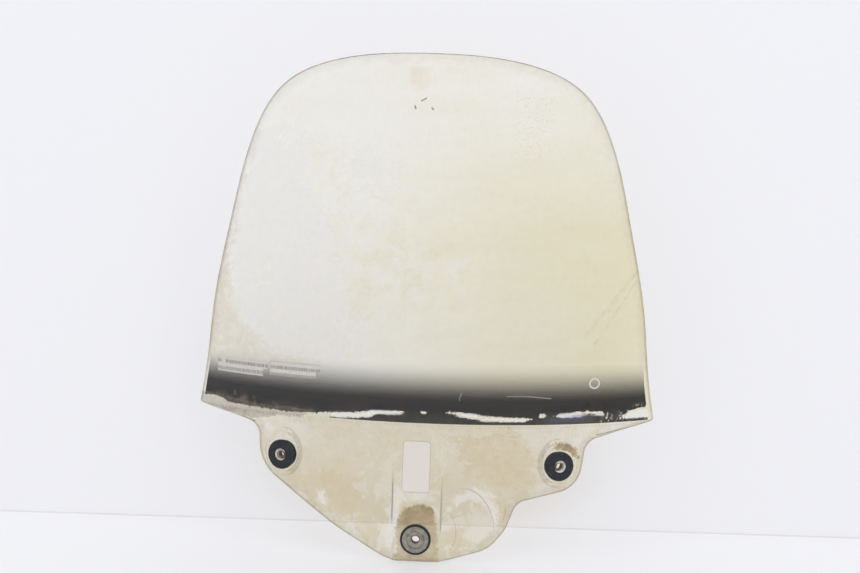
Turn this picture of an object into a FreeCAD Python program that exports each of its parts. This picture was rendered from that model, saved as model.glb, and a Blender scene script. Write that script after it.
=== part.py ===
"""Windshield screen of a scooter: one formed clear sheet with printed trim, three rubber grommets and their
metal inserts. Millimetres, +Z up, front (the convex side) towards -Y. The origin is on the axis of the lower
screw hole, at the front face of the flat flange."""

import FreeCAD
import Part

import math
import os

from FreeCAD import Vector

# The sheet: a vertical cylinder below the fold, a slightly barrelled one above it, all of one wall
BEND_RADIUS = 400.0  # of the flange's front face, seen from above
BARREL_RADIUS = 4000.0  # of the upper panel's front face, seen from the side
WALL = 3.5
FOLD_RISE = 6.0  # how far the upper panel stands forward of the flange
FOLD_LOW_Z = 116.0
FOLD_Z = 128.0
FOLD_ROUNDING = 8.0
FOLD_STRAIGHT = 10.0  # height above the fold that has no barrel
HALF_SWEEP = 48.0  # degrees each side of the middle, wide enough for the shoulders

# The outline, seen from the front
SHOULDER = (260.9, 133.0)
TOP_Z = 532.4
SIDE_POINTS = ((254.4, 170.0), (245.6, 250.0), (225.5, 350.0), (201.6, 440.0), (167.6, 495.0), (99.2, 525.0))

# The three screw points
UPPER_SCREW_X = 153.0
UPPER_SCREW_Z = 83.0
HOLE_R = 11.0
SEAT_RISE = 4.0
SEAT_SEMI = (24.0, 27.0)
SEAT_ABOVE_HOLE = 2.6

# Formed shapes on the flange
TONGUE_HALF_WIDTH = 27.0
TONGUE_RISE = 2.0
TONGUE_FLAT_TOP_Z = 45.0
TONGUE_END_Z = 114.0
BULGE_X = 60.0
BULGE_Z = 22.0
BULGE_SEMI = (26.0, 36.0)
BULGE_RISE = 1.5
SIDE_SLOPE = 0.6  # how much a raised shape narrows for each millimetre that it rises
BOSS_ROOT = 2.5  # how deep a raised shape's solid starts within the wall

# The window through the flange
WINDOW_WIDTH = 29.5
WINDOW_HEIGHT = 56.0
WINDOW_MIDDLE = (-1.8, 80.2)
WINDOW_CORNER = 3.5

# Printed trim
INK = 0.2
PRINT = 0.2
PRINT_MARGIN = 5.0  # how far the layer that a print is cut from runs past it
BAND_SIDE = ((257.0, 130.5), (250.7, 170.0), (248.6, 193.5))
BAND_TOP_Z = 195.5
LABEL_ROW = 8.0
LABEL_LEFT = (-238.0, 168.5, 63.0, 58.0)  # low left corner, length of its upper and of its lower row
LABEL_RIGHT = (-171.5, 171.0, 59.5, 54.5)
MARK_MIDDLE = (191.0, 174.7)
MARK_R = 6.2
MARK_LINE = 1.4

# Grommets and inserts, along their own axis from the seat's front face
FLANGE_R = 16.5
FRONT_FLANGE = 4.0
BACK_FLANGE_R = 15.0
BACK_FLANGE = 3.5
RUBBER_ROUNDING = 1.2
THIN_RIM_ROUNDING = 0.8
INSERT_R = 6.75
INSERT_GAP = 0.05
SCREW_R = 4.2
INSERT_PROUD = 0.5
LOWER_FLANGE_R = 17.0
COLLAR_R = 14.6
COLLAR_FLANGE = 1.6
COLLAR_SUNK = 1.2
COLLAR_SIDE_GAP = 0.1
COLLAR_ROUNDING = 0.4
DISH_R = 8.2
DISH_DEPTH = 1.2

# Room for the tools that cut the sheet: how far they reach past it
FRONT_REACH = 60.0
BACK_REACH = 160.0
BELOW_REACH = 60.0
TOP_REACH = 12.0
DRILL_LENGTH = 40.0


def around(r, angle, z):
    """A point at radius r from the sheet's axis, angle degrees from the middle towards +X."""
    a = math.radians(angle)
    return Vector(r * math.sin(a), BEND_RADIUS - r * math.cos(a), z)


def unit(v):
    return v * (1.0 / v.Length)


def rounded_edges(corners):
    """Lines through corners of (point, radius), each corner but the first and last rounded to its radius."""
    edges = []
    start = corners[0][0]
    for i in range(1, len(corners) - 1):
        point, radius = corners[i]
        back = unit(corners[i - 1][0] - point)
        ahead = unit(corners[i + 1][0] - point)
        half = back.getAngle(ahead) / 2
        reach = radius / math.tan(half)
        middle = point + unit(back + ahead) * (radius / math.sin(half) - radius)
        arc_start = point + back * reach
        arc_end = point + ahead * reach
        edges.append(Part.LineSegment(start, arc_start).toShape())
        edges.append(Part.Arc(arc_start, middle, arc_end).toShape())
        start = arc_end
    edges.append(Part.LineSegment(start, corners[-1][0]).toShape())
    return edges


def revolved(edges, centre, axis, start_angle, sweep):
    """Revolves a closed profile about an axis, starting start_angle degrees before where it is drawn."""
    face = Part.Face(Part.Wire(edges))
    face.rotate(centre, axis, start_angle)
    return face.revolve(centre, axis, sweep)


def upper_radius(z):
    """Radius of the upper panel's front face at a height."""
    t = z - FOLD_Z
    return BEND_RADIUS + FOLD_RISE - BARREL_RADIUS + math.sqrt(BARREL_RADIUS**2 - t**2)


def sheet_point(z, depth):
    """A point of the sheet's profile in the middle plane, depth behind its front face."""
    if z <= FOLD_LOW_Z:
        r = BEND_RADIUS
    elif z < FOLD_Z:
        r = BEND_RADIUS + FOLD_RISE * (z - FOLD_LOW_Z) / (FOLD_Z - FOLD_LOW_Z)
    else:
        r = upper_radius(z)
    return Vector(0, BEND_RADIUS - r + depth, z)


def sheet_profile(depth, low_z, high_z):
    """The profile's line at one depth, from the low end up: the fold if it starts below it, then the barrel."""
    straight_top = FOLD_Z + FOLD_STRAIGHT
    edges = []
    if low_z < FOLD_LOW_Z:
        corners = [(low_z, 0), (FOLD_LOW_Z, FOLD_ROUNDING), (FOLD_Z, FOLD_ROUNDING), (straight_top, 0)]
        edges = rounded_edges([(sheet_point(z, depth), radius) for z, radius in corners])
    elif low_z < straight_top:
        edges = [Part.LineSegment(sheet_point(low_z, depth), sheet_point(straight_top, depth)).toShape()]
    arc_low = max(low_z, straight_top)
    arc_points = [sheet_point(z, depth) for z in (arc_low, (arc_low + high_z) / 2, high_z)]
    return edges + [Part.Arc(*arc_points).toShape()]


def sheet_layer(front_depth, back_depth, low_z, high_z):
    """The swept sheet between two depths behind its front face, over a range of heights."""
    edges = sheet_profile(front_depth, low_z, high_z) + sheet_profile(back_depth, low_z, high_z)
    for z in (low_z, high_z):
        edges.append(Part.LineSegment(sheet_point(z, front_depth), sheet_point(z, back_depth)).toShape())
    axis_point = Vector(0, BEND_RADIUS, 0)
    return revolved(Part.__sortEdges__(edges), axis_point, Vector(0, 0, 1), -HALF_SWEEP, 2 * HALF_SWEEP)


def prism(edges):
    """A solid that runs from front to back through the whole sheet, with the outline that edges give."""
    face = Part.Face(Part.Wire(Part.__sortEdges__(edges)))
    face.translate(Vector(0, -FRONT_REACH, 0))
    return face.extrude(Vector(0, FRONT_REACH + BACK_REACH, 0))


def front_view(x, z):
    return Vector(x, 0, z)


def outline_edges():
    """The sheet's edge, seen from the front: a domed top, and a lower edge with two ears for the screws."""
    right = [front_view(*SHOULDER)] + [front_view(x, z) for x, z in SIDE_POINTS]
    left = [front_view(-p.x, p.z) for p in right]
    dome = Part.BSplineCurve()
    dome.interpolate(right + [front_view(0, TOP_Z)] + left[::-1])
    lower = [
        (-SHOULDER[0], SHOULDER[1], 0),
        (-262.0, 129.0, 3),
        (-184.0, 113.5, 18),
        (-183.2, 69.5, 44),
        (-94.0, 9.8, 200),
        (-30.0, -25.3, 50),
        (30.0, -24.6, 80),
        (80.0, -10.0, 36),
        (98.0, 11.0, 40),
        (109.5, 42.2, 18),
        (177.5, 57.2, 30),
        (184.8, 109.0, 18),
        (262.0, 129.0, 3),
        (SHOULDER[0], SHOULDER[1], 0),
    ]
    return [dome.toShape()] + rounded_edges([(front_view(x, z), r) for x, z, r in lower])


def placed_on_sheet(shape, angle, z):
    """Moves a shape drawn at the origin, outward along +Z and upward along +Y, onto the sheet."""
    turned = shape.copy()
    turned.rotate(Vector(0, 0, 0), Vector(1, 0, 0), 90)
    turned.rotate(Vector(0, 0, 0), Vector(0, 0, 1), angle)
    turned.translate(around(BEND_RADIUS, angle, z))
    return turned


def oval(semi_x, semi_y, centre_y, height):
    """An ellipse wire at a height along +Z."""
    centre = Vector(0, centre_y, height)
    if semi_x >= semi_y:
        curve = Part.Ellipse(centre + Vector(semi_x, 0, 0), centre + Vector(0, semi_y, 0), centre)
    else:
        curve = Part.Ellipse(centre + Vector(0, semi_y, 0), centre + Vector(-semi_x, 0, 0), centre)
    return Part.Wire(curve.toShape())


def raised_oval(angle, z, semi, rise, centre_above=0.0):
    """An oval pressed forward out of the wall: what it adds in front, and the hollow that it leaves behind."""

    def frustum(low, high, inset):
        ends = []
        for height in (low, high):
            narrowing = SIDE_SLOPE * height + inset
            ends.append(oval(semi[0] - narrowing, semi[1] - narrowing, centre_above, height))
        return placed_on_sheet(Part.makeLoft(ends, True, True), angle, z)

    return frustum(-BOSS_ROOT, rise, 0.0), frustum(-BOSS_ROOT * WALL, rise - WALL, WALL)


def tongue():
    """The flat tongue round the lower screw, which comes forward out of the curved flange below the window."""
    line = [(-TONGUE_RISE, -BELOW_REACH), (-TONGUE_RISE, TONGUE_FLAT_TOP_Z), (0, TONGUE_END_Z)]
    profile = [Vector(0, y, z) for y, z in line]
    profile += [Vector(0, y + WALL, z) for y, z in line[::-1]]
    face = Part.Face(Part.makePolygon(profile + profile[:1]))
    face.translate(Vector(-TONGUE_HALF_WIDTH, 0, 0))
    return face.extrude(Vector(2 * TONGUE_HALF_WIDTH, 0, 0))


def tongue_strip():
    """The stretch of the curved flange that the tongue takes the place of."""
    low_corner = Vector(-TONGUE_HALF_WIDTH, -DRILL_LENGTH / 2, -BELOW_REACH)
    return Part.makeBox(2 * TONGUE_HALF_WIDTH, DRILL_LENGTH, TONGUE_END_Z + BELOW_REACH, low_corner)


def window():
    """The rounded rectangular hole in the flange."""
    x, z = WINDOW_MIDDLE
    w, h = WINDOW_WIDTH / 2, WINDOW_HEIGHT / 2
    corners = [front_view(x, z - h), front_view(x + w, z - h), front_view(x + w, z + h)]
    corners += [front_view(x - w, z + h), front_view(x - w, z - h), front_view(x, z - h)]
    radii = [0] + [WINDOW_CORNER] * 4 + [0]
    return prism(rounded_edges(list(zip(corners, radii))))


def screw_angle():
    """How far round the sheet an upper screw stands, in degrees."""
    return math.degrees(math.asin(UPPER_SCREW_X / BEND_RADIUS))


def upright(shape, side):
    """Places a shape drawn along +Z at an upper screw point, its origin on the seat's front face."""
    raised = shape.copy()
    raised.translate(Vector(0, 0, SEAT_RISE))
    return placed_on_sheet(raised, side * screw_angle(), UPPER_SCREW_Z)


def at_lower_screw(shape):
    """Places a shape drawn along +Z at the lower screw point, its origin on the tongue's front face."""
    raised = shape.copy()
    raised.translate(Vector(0, 0, TONGUE_RISE))
    return placed_on_sheet(raised, 0.0, 0.0)


def make_screen():
    """The formed sheet with its fold, seats, tongue, bulge, window and three grommet holes."""
    sheet = sheet_layer(0.0, WALL, -BELOW_REACH, TOP_Z + TOP_REACH)
    sheet = sheet.cut(tongue_strip()).fuse(tongue())
    ovals = [raised_oval(side * screw_angle(), UPPER_SCREW_Z, SEAT_SEMI, SEAT_RISE, SEAT_ABOVE_HOLE)
             for side in (-1, 1)]
    bulge_angle = math.degrees(math.asin(BULGE_X / BEND_RADIUS))
    ovals.append(raised_oval(bulge_angle, BULGE_Z, BULGE_SEMI, BULGE_RISE))
    for boss, hollow in ovals:
        sheet = sheet.fuse(boss).cut(hollow)
    sheet = sheet.common(prism(outline_edges())).cut(window())
    hole = Part.makeCylinder(HOLE_R, DRILL_LENGTH, Vector(0, 0, -DRILL_LENGTH / 2))
    for drill in (upright(hole, -1), upright(hole, 1), at_lower_screw(hole)):
        sheet = sheet.cut(drill)
    return sheet.removeSplitter()


def make_fade_band():
    """The dark ink film on the sheet's back face, just above the fold."""
    right = [front_view(x, z) for x, z in BAND_SIDE]
    left = [front_view(-x, z) for x, z in BAND_SIDE]
    edges = Part.makePolygon(right).Edges + Part.makePolygon(left).Edges
    edges.append(Part.LineSegment(left[0], right[0]).toShape())
    edges.append(Part.Arc(left[-1], front_view(0, BAND_TOP_Z), right[-1]).toShape())
    return sheet_layer(WALL, WALL + INK, FOLD_Z, BAND_TOP_Z + PRINT_MARGIN).common(prism(edges))


def front_print(edges, low_z, high_z):
    """A thin print on the sheet's front face."""
    layer = sheet_layer(-PRINT, 0.0, low_z - PRINT_MARGIN, high_z + PRINT_MARGIN)
    return layer.common(prism(edges))


def make_label(place):
    """A plain two-row label field, its lower row a little shorter."""
    x, z, upper_length, lower_length = place
    steps = [(x, z), (x + lower_length, z), (x + lower_length, z + LABEL_ROW), (x + upper_length, z + LABEL_ROW)]
    steps += [(x + upper_length, z + 2 * LABEL_ROW), (x, z + 2 * LABEL_ROW), (x, z)]
    edges = Part.makePolygon([front_view(*p) for p in steps]).Edges
    return front_print(edges, z, z + 2 * LABEL_ROW)


def make_mark():
    """A plain printed ring."""
    x, z = MARK_MIDDLE

    def disc(r):
        circle = Part.Circle(front_view(x, z), Vector(0, 1, 0), r).toShape()
        return front_print([circle], z - r, z + r)

    return disc(MARK_R).cut(disc(MARK_R - MARK_LINE))


def turned_part(points, corner_radius, rounded_radii):
    """A body turned about +Z from (radius, height) points, with the rims of the given radii rounded."""
    edges = Part.makePolygon([Vector(r, 0, h) for r, h in points + points[:1]]).Edges
    solid = revolved(edges, Vector(0, 0, 0), Vector(0, 0, 1), 0, 360)
    if not corner_radius:
        return solid
    rims = [e for e in solid.Edges if hasattr(e.Curve, "Radius") and e.Closed
            and any(abs(e.Curve.Radius - r) < 1e-6 for r in rounded_radii)]
    return solid.makeFillet(corner_radius, rims)


def make_upper_grommet():
    """A rubber grommet: a thick front flange, a groove for the sheet and a smaller back flange."""
    bore = INSERT_R + INSERT_GAP
    back = -WALL - BACK_FLANGE
    points = [(bore, back), (BACK_FLANGE_R, back), (BACK_FLANGE_R, -WALL), (HOLE_R, -WALL), (HOLE_R, 0)]
    points += [(FLANGE_R, 0), (FLANGE_R, FRONT_FLANGE), (bore, FRONT_FLANGE)]
    return turned_part(points, RUBBER_ROUNDING, (BACK_FLANGE_R, FLANGE_R))


def make_lower_grommet():
    """The same grommet with a pocket in its front flange, which takes the collar's flange."""
    bore = INSERT_R + INSERT_GAP
    back = -WALL - BACK_FLANGE
    pocket_r = COLLAR_R + COLLAR_SIDE_GAP
    floor = FRONT_FLANGE - COLLAR_SUNK
    points = [(bore, back), (BACK_FLANGE_R, back), (BACK_FLANGE_R, -WALL), (HOLE_R, -WALL), (HOLE_R, 0)]
    points += [(LOWER_FLANGE_R, 0), (LOWER_FLANGE_R, FRONT_FLANGE), (pocket_r, FRONT_FLANGE)]
    points += [(pocket_r, floor), (bore, floor)]
    return turned_part(points, THIN_RIM_ROUNDING, (BACK_FLANGE_R, LOWER_FLANGE_R))


def make_sleeve():
    """A plain spacer tube that the screw clamps, a little longer than its grommet."""
    low = -WALL - BACK_FLANGE - INSERT_PROUD
    high = FRONT_FLANGE + INSERT_PROUD
    points = [(SCREW_R, low), (INSERT_R, low), (INSERT_R, high), (SCREW_R, high)]
    return turned_part(points, 0.0, ())


def make_collar():
    """The lower insert: a spacer tube with a broad flange, dished round the screw hole."""
    low = -WALL - BACK_FLANGE - INSERT_PROUD
    floor = FRONT_FLANGE - COLLAR_SUNK
    top = floor + COLLAR_FLANGE
    points = [(SCREW_R, low), (INSERT_R, low), (INSERT_R, floor), (COLLAR_R, floor), (COLLAR_R, top)]
    points += [(DISH_R, top), (SCREW_R, top - DISH_DEPTH)]
    return turned_part(points, COLLAR_ROUNDING, (COLLAR_R,))


def main():
    nodes = {
        "screen": make_screen(),
        "fade_band": make_fade_band(),
        "care_label_left": make_label(LABEL_LEFT),
        "care_label_right": make_label(LABEL_RIGHT),
        "round_mark": make_mark(),
        "grommet_left": upright(make_upper_grommet(), -1),
        "grommet_right": upright(make_upper_grommet(), 1),
        "grommet_lower": at_lower_screw(make_lower_grommet()),
        "sleeve_left": upright(make_sleeve(), -1),
        "sleeve_right": upright(make_sleeve(), 1),
        "collar_lower": at_lower_screw(make_collar()),
    }
    os.makedirs("parts", exist_ok=True)
    for name, shape in nodes.items():
        solids = shape.Solids
        box = shape.BoundBox
        print(f"{name:18} solids {len(solids)} valid {shape.isValid()} volume {shape.Volume / 1000:9.3f} cm3  "
              f"x {box.XMin:.1f}..{box.XMax:.1f} y {box.YMin:.1f}..{box.YMax:.1f} z {box.ZMin:.1f}..{box.ZMax:.1f}")
        shape = solids[0] if len(solids) == 1 else shape
        shape.exportStep(f"parts/{name}.step")


main()
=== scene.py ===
"""Looks of the windshield screen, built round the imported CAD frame. Metres, +Z up, front towards -Y."""

import math

import bpy
import numpy as np
from mathutils import Matrix, Vector
from mathutils.geometry import delaunay_2d_cdt


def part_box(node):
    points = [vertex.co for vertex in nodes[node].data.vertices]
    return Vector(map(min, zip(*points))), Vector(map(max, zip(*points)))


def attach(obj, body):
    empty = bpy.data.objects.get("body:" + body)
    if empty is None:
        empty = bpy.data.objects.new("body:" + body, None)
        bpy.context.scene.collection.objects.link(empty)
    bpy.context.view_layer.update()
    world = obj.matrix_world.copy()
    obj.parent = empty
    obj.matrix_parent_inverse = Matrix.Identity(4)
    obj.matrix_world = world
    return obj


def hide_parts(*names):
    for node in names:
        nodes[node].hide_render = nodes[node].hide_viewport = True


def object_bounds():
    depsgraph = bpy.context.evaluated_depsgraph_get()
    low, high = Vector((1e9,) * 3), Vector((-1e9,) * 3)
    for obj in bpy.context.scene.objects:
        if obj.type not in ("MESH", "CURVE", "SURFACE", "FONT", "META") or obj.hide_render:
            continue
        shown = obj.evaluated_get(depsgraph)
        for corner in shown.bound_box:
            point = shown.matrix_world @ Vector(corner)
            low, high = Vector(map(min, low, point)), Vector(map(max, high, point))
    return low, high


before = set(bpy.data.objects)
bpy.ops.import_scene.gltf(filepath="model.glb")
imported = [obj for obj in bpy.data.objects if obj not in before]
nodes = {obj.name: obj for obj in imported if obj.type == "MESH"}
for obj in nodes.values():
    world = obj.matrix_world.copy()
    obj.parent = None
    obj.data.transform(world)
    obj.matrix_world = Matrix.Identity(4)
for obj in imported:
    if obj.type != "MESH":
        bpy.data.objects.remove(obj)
cad_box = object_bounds()

MM = 0.001

# The sheet, as the CAD model has it
BEND_RADIUS = 400 * MM
BARREL_RADIUS = 4000 * MM
WALL = 3.5 * MM
FOLD_RISE = 6 * MM
FOLD_LOW_Z = 116 * MM
FOLD_Z = 128 * MM
SEAT_RISE = 4 * MM
SEAT_SEMI = (24 * MM, 27 * MM)
SEAT_ABOVE_HOLE = 2.6 * MM
SEAT_WALL = 2.8 * MM
TONGUE_HALF_WIDTH = 27 * MM
TONGUE_RISE = 2 * MM
TONGUE_FLAT_TOP_Z = 45 * MM
TONGUE_END_Z = 114 * MM
TONGUE_SIDE = 1.8 * MM
TONGUE_END = 14 * MM
# Middle x and z, then half sizes
BULGE = (60 * MM, 22 * MM, 26 * MM, 36 * MM)
BULGE_RISE = 1.5 * MM
BULGE_SLOPE = 6 * MM
# The slight waves of an old sheet, and how far above the fold they reach full height
WAVE = 0.05 * MM
WAVES_GROW = 60 * MM
HOLE_R = 11 * MM
EDGE_ROUNDING = 0.6 * MM
HALF_WIDTH = 262 * MM

# Its mesh: spacing, how near the inner points come to its outline and to any other edge, sides of a hole and
# of the printed ring, and how far a finer part reaches past what it covers
MESH_STEP = 5 * MM
OUTLINE_GAP = 1.3 * MM
EDGE_GAP = 1.0 * MM
HOLE_SIDES = 64
RING_SIDES = 48
FINE_MARGIN = 2 * MM

# The front view's outline in millimetres: the right side up to the top, and the lower corners with radii
SHOULDER = (260.9, 133.0)
TOP_Z = 532.4
SIDE_POINTS = ((254.4, 170.0), (245.6, 250.0), (225.5, 350.0), (201.6, 440.0), (167.6, 495.0), (99.2, 525.0))
LOWER_CORNERS = (
    (-260.9, 133.0, 0), (-262.0, 129.0, 3), (-184.0, 113.5, 18), (-183.2, 69.5, 44), (-94.0, 9.8, 200),
    (-30.0, -25.3, 50), (30.0, -24.6, 80), (80.0, -10.0, 36), (98.0, 11.0, 40), (109.5, 42.2, 18),
    (177.5, 57.2, 30), (184.8, 109.0, 18), (262.0, 129.0, 3), (260.9, 133.0, 0),
)
# Middle x and z, width, height and corner radius
WINDOW = (-1.8 * MM, 80.2 * MM, 29.5 * MM, 56 * MM, 3.5 * MM)


def node_middle(name):
    """The middle of a CAD node's box."""
    lo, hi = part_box(name)
    return (lo + hi) / 2


# ---- the sheet's shape


def ramp(t):
    """0 below 0, 1 above 1, and smooth between."""
    t = np.clip(t, 0.0, 1.0)
    return t - np.sin(2 * np.pi * t) / (2 * np.pi)


def sheet_radius(z):
    """Radius of the sheet's front face round its upright axis, at a height."""
    fold = FOLD_RISE * ramp((z - FOLD_LOW_Z) / (FOLD_Z - FOLD_LOW_Z))
    above = np.maximum(z - FOLD_Z, 0.0)
    return BEND_RADIUS + fold - BARREL_RADIUS + np.sqrt(BARREL_RADIUS**2 - above**2)


def seats():
    """Angle and height of the two upper screw points, from their grommets."""
    for name in ("grommet_left", "grommet_right"):
        middle = node_middle(name)
        yield math.atan2(middle.x, BEND_RADIUS - middle.y), middle.z


SEATS = list(seats())


def oval_inset(x, z, angle, middle_z, semi):
    """How far inside an oval on the sheet a point lies, and how far round from the oval's middle."""
    turn = np.arcsin(np.clip(x / BEND_RADIUS, -1, 1)) - angle
    across = BEND_RADIUS * turn / semi[0]
    up = (z - middle_z) / semi[1]
    return (1 - np.sqrt(across**2 + up**2)) * min(semi), turn


def tongue_height(x, z):
    """How far the flat tongue stands forward of the curved flange."""
    slope = (z - TONGUE_FLAT_TOP_Z) / (TONGUE_END_Z - TONGUE_FLAT_TOP_Z)
    plane = -TONGUE_RISE * (1 - np.clip(slope, 0, 1))
    behind = BEND_RADIUS - np.sqrt(BEND_RADIUS**2 - x**2) - plane
    side = ramp((TONGUE_HALF_WIDTH + TONGUE_SIDE / 2 - np.abs(x)) / TONGUE_SIDE)
    end = ramp((TONGUE_END_Z - z) / TONGUE_END)
    return side * end * behind


def formed_height(x, z):
    """Everything that is pressed forward out of the flange, and the slight waves of an old sheet."""
    height = tongue_height(x, z)
    for angle, hole_z in SEATS:
        inside, turn = oval_inset(x, z, angle, hole_z + SEAT_ABOVE_HOLE, SEAT_SEMI)
        flat_top = SEAT_RISE + BEND_RADIUS * (1 - np.cos(turn))
        height = height + flat_top * ramp(inside / SEAT_WALL)
    bulge_x, bulge_z, semi_x, semi_z = BULGE
    inside, turn = oval_inset(x, z, math.asin(bulge_x / BEND_RADIUS), bulge_z, (semi_x, semi_z))
    height = height + BULGE_RISE * ramp(inside / BULGE_SLOPE)
    upper = ramp((z - FOLD_Z) / WAVES_GROW)
    waves = np.sin(x * 31 + z * 17) * np.sin(z * 43 - x * 9) + 0.6 * np.sin(x * 71 - z * 23 + 1.3)
    return height + WAVE * upper * waves


def front_points(x, z):
    """Points on the sheet's front face above front-view places x, z."""
    r = sheet_radius(z)
    sine = np.clip(x / r, -1, 1)
    cosine = np.sqrt(1 - sine**2)
    height = formed_height(x, z)
    return np.stack([x + sine * height, BEND_RADIUS - cosine * (r + height), z], -1)


def front_normals(x, z):
    """Outward normals of the front face, from its slopes."""
    step = 0.05 * MM
    along_x = front_points(x + step, z) - front_points(x - step, z)
    along_z = front_points(x, z + step) - front_points(x, z - step)
    n = np.cross(along_x, along_z)
    return n / np.linalg.norm(n, axis=-1, keepdims=True)


# ---- outlines


def smooth_curve(points, step):
    """Samples of the natural cubic spline through points, about step apart."""
    p = np.array(points, float)
    t = np.concatenate([[0], np.cumsum(np.linalg.norm(np.diff(p, axis=0), axis=1))])
    h = np.diff(t)
    n = len(p)
    a = np.eye(n)
    b = np.zeros_like(p)
    for i in range(1, n - 1):
        a[i, i - 1 : i + 2] = h[i - 1], 2 * (h[i - 1] + h[i]), h[i]
        b[i] = 6 * ((p[i + 1] - p[i]) / h[i] - (p[i] - p[i - 1]) / h[i - 1])
    m = np.linalg.solve(a, b)
    out = []
    for i in range(n - 1):
        u = np.linspace(0, 1, max(2, int(round(h[i] / step))), endpoint=False)[:, None]
        lead, lag = 1 - u, u
        bend = ((lead**3 - lead) * m[i] + (lag**3 - lag) * m[i + 1]) * h[i] ** 2 / 6
        out.append(lead * p[i] + lag * p[i + 1] + bend)
    return np.concatenate(out)


def rounded_path(corners, step):
    """Samples along lines through (x, z, radius) corners, each corner rounded to its radius."""
    pts = [np.array(c[:2], float) for c in corners]
    out = [pts[0]]
    for i in range(1, len(corners) - 1):
        back = pts[i - 1] - pts[i]
        ahead = pts[i + 1] - pts[i]
        back /= np.linalg.norm(back)
        ahead /= np.linalg.norm(ahead)
        half = math.acos(np.clip(back @ ahead, -1, 1)) / 2
        radius = corners[i][2]
        inward = back + ahead
        centre = pts[i] + inward / np.linalg.norm(inward) * (radius / math.sin(half))
        start = pts[i] + back * (radius / math.tan(half)) - centre
        end = pts[i] + ahead * (radius / math.tan(half)) - centre
        turn = math.atan2(start[0] * end[1] - start[1] * end[0], start @ end)
        count = max(2, int(abs(turn) * radius / step) + 1)
        for k in range(count + 1):
            a = turn * k / count
            c, s = math.cos(a), math.sin(a)
            out.append(centre + np.array([c * start[0] - s * start[1], s * start[0] + c * start[1]]))
    out.append(pts[-1])
    return np.array(out)


def divided(path, step):
    """The same closed path with its long runs divided to about step."""
    out = []
    for a, b in zip(path, np.roll(path, -1, axis=0)):
        count = max(1, int(math.ceil(np.linalg.norm(b - a) / step)))
        out += [a + (b - a) * k / count for k in range(count)]
    return np.array(out)


def sheet_outline():
    """The sheet's edge in the front view, in metres, anticlockwise."""
    right = [SHOULDER, *SIDE_POINTS]
    left = [(-x, z) for x, z in right]
    dome = smooth_curve([*right, (0, TOP_Z), *left[::-1]], 4.0)
    lower = rounded_path(LOWER_CORNERS, 1.5)
    return divided(np.concatenate([dome, lower[:-1]]) * MM, 4 * MM)


def window_outline():
    """The window's edge, anticlockwise from the middle of its lower side."""
    x, z, w, h, r = WINDOW
    corners = [(x, z - h / 2, 0)]
    corners += [(x + i * w / 2, z + j * h / 2, r) for i, j in ((1, -1), (1, 1), (-1, 1), (-1, -1))]
    corners.append((x, z - h / 2, 0))
    return divided(rounded_path(corners, 0.8 * MM)[:-1], 2.5 * MM)


def round_outline(x, z, r, sides, squeeze=1.0):
    """A circle, or with a squeeze its front view where the sheet turns away."""
    turns = np.linspace(0, 2 * np.pi, sides, endpoint=False)
    return np.stack([x + squeeze * r * np.cos(turns), z + r * np.sin(turns)], -1)


def inset(loop, distance):
    """Moves a loop to its left by a distance, which is inward for an anticlockwise one."""
    tangent = np.roll(loop, -1, axis=0) - np.roll(loop, 1, axis=0)
    tangent /= np.linalg.norm(tangent, axis=1, keepdims=True)
    return loop + distance * np.stack([-tangent[:, 1], tangent[:, 0]], -1)


def edge_distance(points, loop):
    """Signed distance of points from a closed loop, positive inside."""
    a, b = loop, np.roll(loop, -1, axis=0)
    best = np.full(len(points), np.inf)
    inside = np.zeros(len(points), bool)
    for p, q in zip(a, b):
        d = q - p
        t = np.clip(((points - p) @ d) / (d @ d), 0, 1)
        best = np.minimum(best, np.linalg.norm(points - p - t[:, None] * d, axis=1))
        crosses = (p[1] > points[:, 1]) != (q[1] > points[:, 1])
        at = p[0] + (points[:, 1] - p[1]) * (q[0] - p[0]) / (q[1] - p[1] if q[1] != p[1] else 1e-12)
        inside ^= crosses & (points[:, 0] < at)
    return np.where(inside, best, -best)


def within(points, loops, gap=0.0, hole_gap=0.0):
    """Which points lie inside the first loop and outside the others, at least a gap away."""
    keep = edge_distance(points, loops[0]) > gap
    for hole in loops[1:]:
        keep &= edge_distance(points, hole) < -hole_gap
    return keep


# ---- meshes


def make_mesh(name, verts, faces, materials, indices=None, smooth=True):
    """A mesh object with its materials, linked to the scene."""
    mesh = bpy.data.meshes.new(name)
    mesh.from_pydata([tuple(v) for v in verts], [], [tuple(int(i) for i in f) for f in faces])
    for m in materials:
        mesh.materials.append(m)
    if indices is not None:
        mesh.polygons.foreach_set("material_index", indices)
    mesh.polygons.foreach_set("use_smooth", [smooth] * len(mesh.polygons))
    mesh.update()
    obj = bpy.data.objects.new(name, mesh)
    bpy.context.scene.collection.objects.link(obj)
    return obj


def grid_points(low, high, step_x, step_z):
    """Points of a grid between two corners, every other row shifted by half a step."""
    xs = np.arange(low[0], high[0], step_x)
    zs = np.arange(low[1], high[1], step_z)
    gx, gz = np.meshgrid(xs, zs)
    gx = gx + (np.arange(len(zs)) % 2)[:, None] * step_x / 2
    return np.stack([gx.ravel(), gz.ravel()], -1)


def triangulated(loops, points):
    """Triangles that fill the first loop but not the others, through extra points inside."""
    verts = [Vector(p) for p in np.concatenate([*loops, points])]
    edges = []
    at = 0
    for loop in loops:
        edges += [(at + i, at + (i + 1) % len(loop)) for i in range(len(loop))]
        at += len(loop)
    places, _, found = delaunay_2d_cdt(verts, edges, [], 0, 1e-7)[:3]
    flat = np.array([tuple(v) for v in places])
    tris = np.array([f for f in found if len(f) == 3])
    tris = tris[within(flat[tris].mean(axis=1), loops)]
    used, renumbered = np.unique(tris, return_inverse=True)
    return flat[used], renumbered.reshape(tris.shape)


def boundary_next(tris):
    """For each point on the edge of a triangulation, the next one along the edge."""
    directed = {(int(t[i]), int(t[(i + 1) % 3])) for t in tris for i in range(3)}
    return {a: b for a, b in directed if (b, a) not in directed}


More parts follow.
